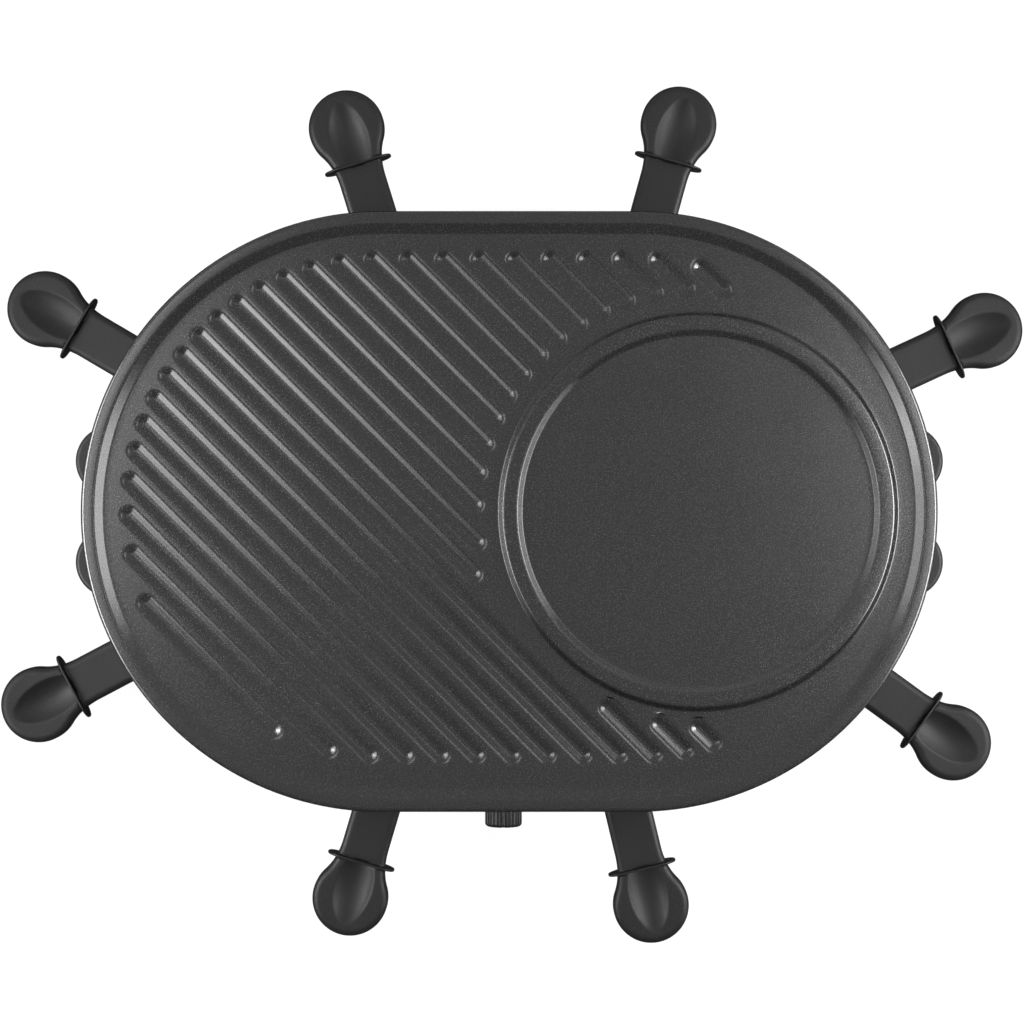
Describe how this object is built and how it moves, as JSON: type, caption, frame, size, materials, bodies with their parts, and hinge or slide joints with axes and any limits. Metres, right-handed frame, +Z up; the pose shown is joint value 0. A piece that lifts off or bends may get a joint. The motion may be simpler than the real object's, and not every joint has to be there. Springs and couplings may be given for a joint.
{
  "type": "raclette grill",
  "caption": "Oval tabletop raclette grill: ribbed grill plate with a crepe ring, a bent tube heater below it, and small pulled-out pans with moulded handles round an open deck.",
  "frame": {"origin": "on the table, under the middle of the grill plate", "axes": "+Z up, +Y to the back, +X to the right along the plate; the knob faces -Y"},
  "size_m": [0.5264, 0.4414, 0.118],
  "materials": {
    "nonstick_coating": "semi-gloss dark grey non-stick coating with a fine grain, on cast aluminium",
    "black_enamel": "satin black heat-proof paint on pressed steel",
    "pan_coating": "smooth dark non-stick coating on pressed steel",
    "handle_plastic": "fine matte black moulded plastic",
    "black_plastic": "matte black moulded plastic",
    "knob_plastic": "black moulded plastic, fluted",
    "element_steel": "heat-darkened stainless tube",
    "zinc_steel": "bright zinc-plated steel",
    "ceramic_bead": "white fired ceramic",
    "thermostat_case": "pale heat-proof moulding",
    "block_plastic": "white heat-proof moulding",
    "lamp_lens": "clear orange-red lens",
    "wire_sleeve": "woven heat-proof sleeve",
    "foot_rubber": "soft black rubber"
  },
  "bodies": {
    "base": {"upper_frame": "black_enamel", "heating_element": "element_steel", "element_insulators": "ceramic_bead", "terminal_pins": "zinc_steel", "element_clips": "zinc_steel", "clip_rivets": "zinc_steel", "upright_screws": "zinc_steel", "handle_screws": "zinc_steel", "thermostat": "thermostat_case", "thermostat_nut": "zinc_steel", "indicator_lamp": "lamp_lens", "cord_gland": "black_plastic", "terminal_block": "block_plastic", "inner_leads": "wire_sleeve", "base_shell": "black_plastic", "pan_deck": "black_enamel", "bottom_cover": "black_enamel", "cover_screws": "zinc_steel", "rubber_feet": "foot_rubber", "upright_cover_screws": "zinc_steel", "front_upright": "black_plastic", "front_upright_cover": "black_plastic", "rear_upright": "black_plastic", "rear_upright_cover": "black_plastic", "left_upright": "black_plastic", "left_upright_cover": "black_plastic", "right_upright": "black_plastic", "right_upright_cover": "black_plastic", "left_handle": "handle_plastic", "right_handle": "handle_plastic"},
    "plate": {"grill_plate": "nonstick_coating"},
    "knob": {"thermostat_shaft": "zinc_steel", "temperature_knob": "knob_plastic"},
    "pan_set_1": {"pan_1": "pan_coating", "pan_handle_1": "handle_plastic", "pan_screw_1": "zinc_steel"},
    "pan_set_2": {"pan_2": "pan_coating", "pan_handle_2": "handle_plastic", "pan_screw_2": "zinc_steel"},
    "pan_set_3": {"pan_3": "pan_coating", "pan_handle_3": "handle_plastic", "pan_screw_3": "zinc_steel"},
    "pan_set_4": {"pan_4": "pan_coating", "pan_handle_4": "handle_plastic", "pan_screw_4": "zinc_steel"},
    "pan_set_5": {"pan_5": "pan_coating", "pan_handle_5": "handle_plastic", "pan_screw_5": "zinc_steel"},
    "pan_set_6": {"pan_6": "pan_coating", "pan_handle_6": "handle_plastic", "pan_screw_6": "zinc_steel"},
    "pan_set_7": {"pan_7": "pan_coating", "pan_handle_7": "handle_plastic", "pan_screw_7": "zinc_steel"},
    "pan_set_8": {"pan_8": "pan_coating", "pan_handle_8": "handle_plastic", "pan_screw_8": "zinc_steel"}
  },
  "joints": [
    {"name": "plate_lift", "type": "slide", "parent": "base", "child": "plate", "axis": [0, 0, 1], "range_m": [0, 0.12]},
    {"name": "knob_turn", "type": "hinge", "parent": "base", "child": "knob", "pos_m": [-0.003, -0.144, 0.058], "axis": [0, -1, 0], "range_deg": [0, 270]},
    {"name": "pan_1_pull", "type": "slide", "parent": "base", "child": "pan_set_1", "axis": [-0.2957, 0.9553, 0], "range_m": [0, 0.13]},
    {"name": "pan_2_pull", "type": "slide", "parent": "base", "child": "pan_set_2", "axis": [0.2672, 0.9636, 0], "range_m": [0, 0.13]},
    {"name": "pan_3_pull", "type": "slide", "parent": "base", "child": "pan_set_3", "axis": [0.9078, 0.4195, 0], "range_m": [0, 0.13]},
    {"name": "pan_4_pull", "type": "slide", "parent": "base", "child": "pan_set_4", "axis": [0.809, -0.5878, 0], "range_m": [0, 0.13]},
    {"name": "pan_5_pull", "type": "slide", "parent": "base", "child": "pan_set_5", "axis": [0.2334, -0.9724, 0], "range_m": [0, 0.13]},
    {"name": "pan_6_pull", "type": "slide", "parent": "base", "child": "pan_set_6", "axis": [-0.284, -0.9588, 0], "range_m": [0, 0.13]},
    {"name": "pan_7_pull", "type": "slide", "parent": "base", "child": "pan_set_7", "axis": [-0.8846, -0.4664, 0], "range_m": [0, 0.13]},
    {"name": "pan_8_pull", "type": "slide", "parent": "base", "child": "pan_set_8", "axis": [-0.8616, 0.5075, 0], "range_m": [0, 0.13]}
  ]
}
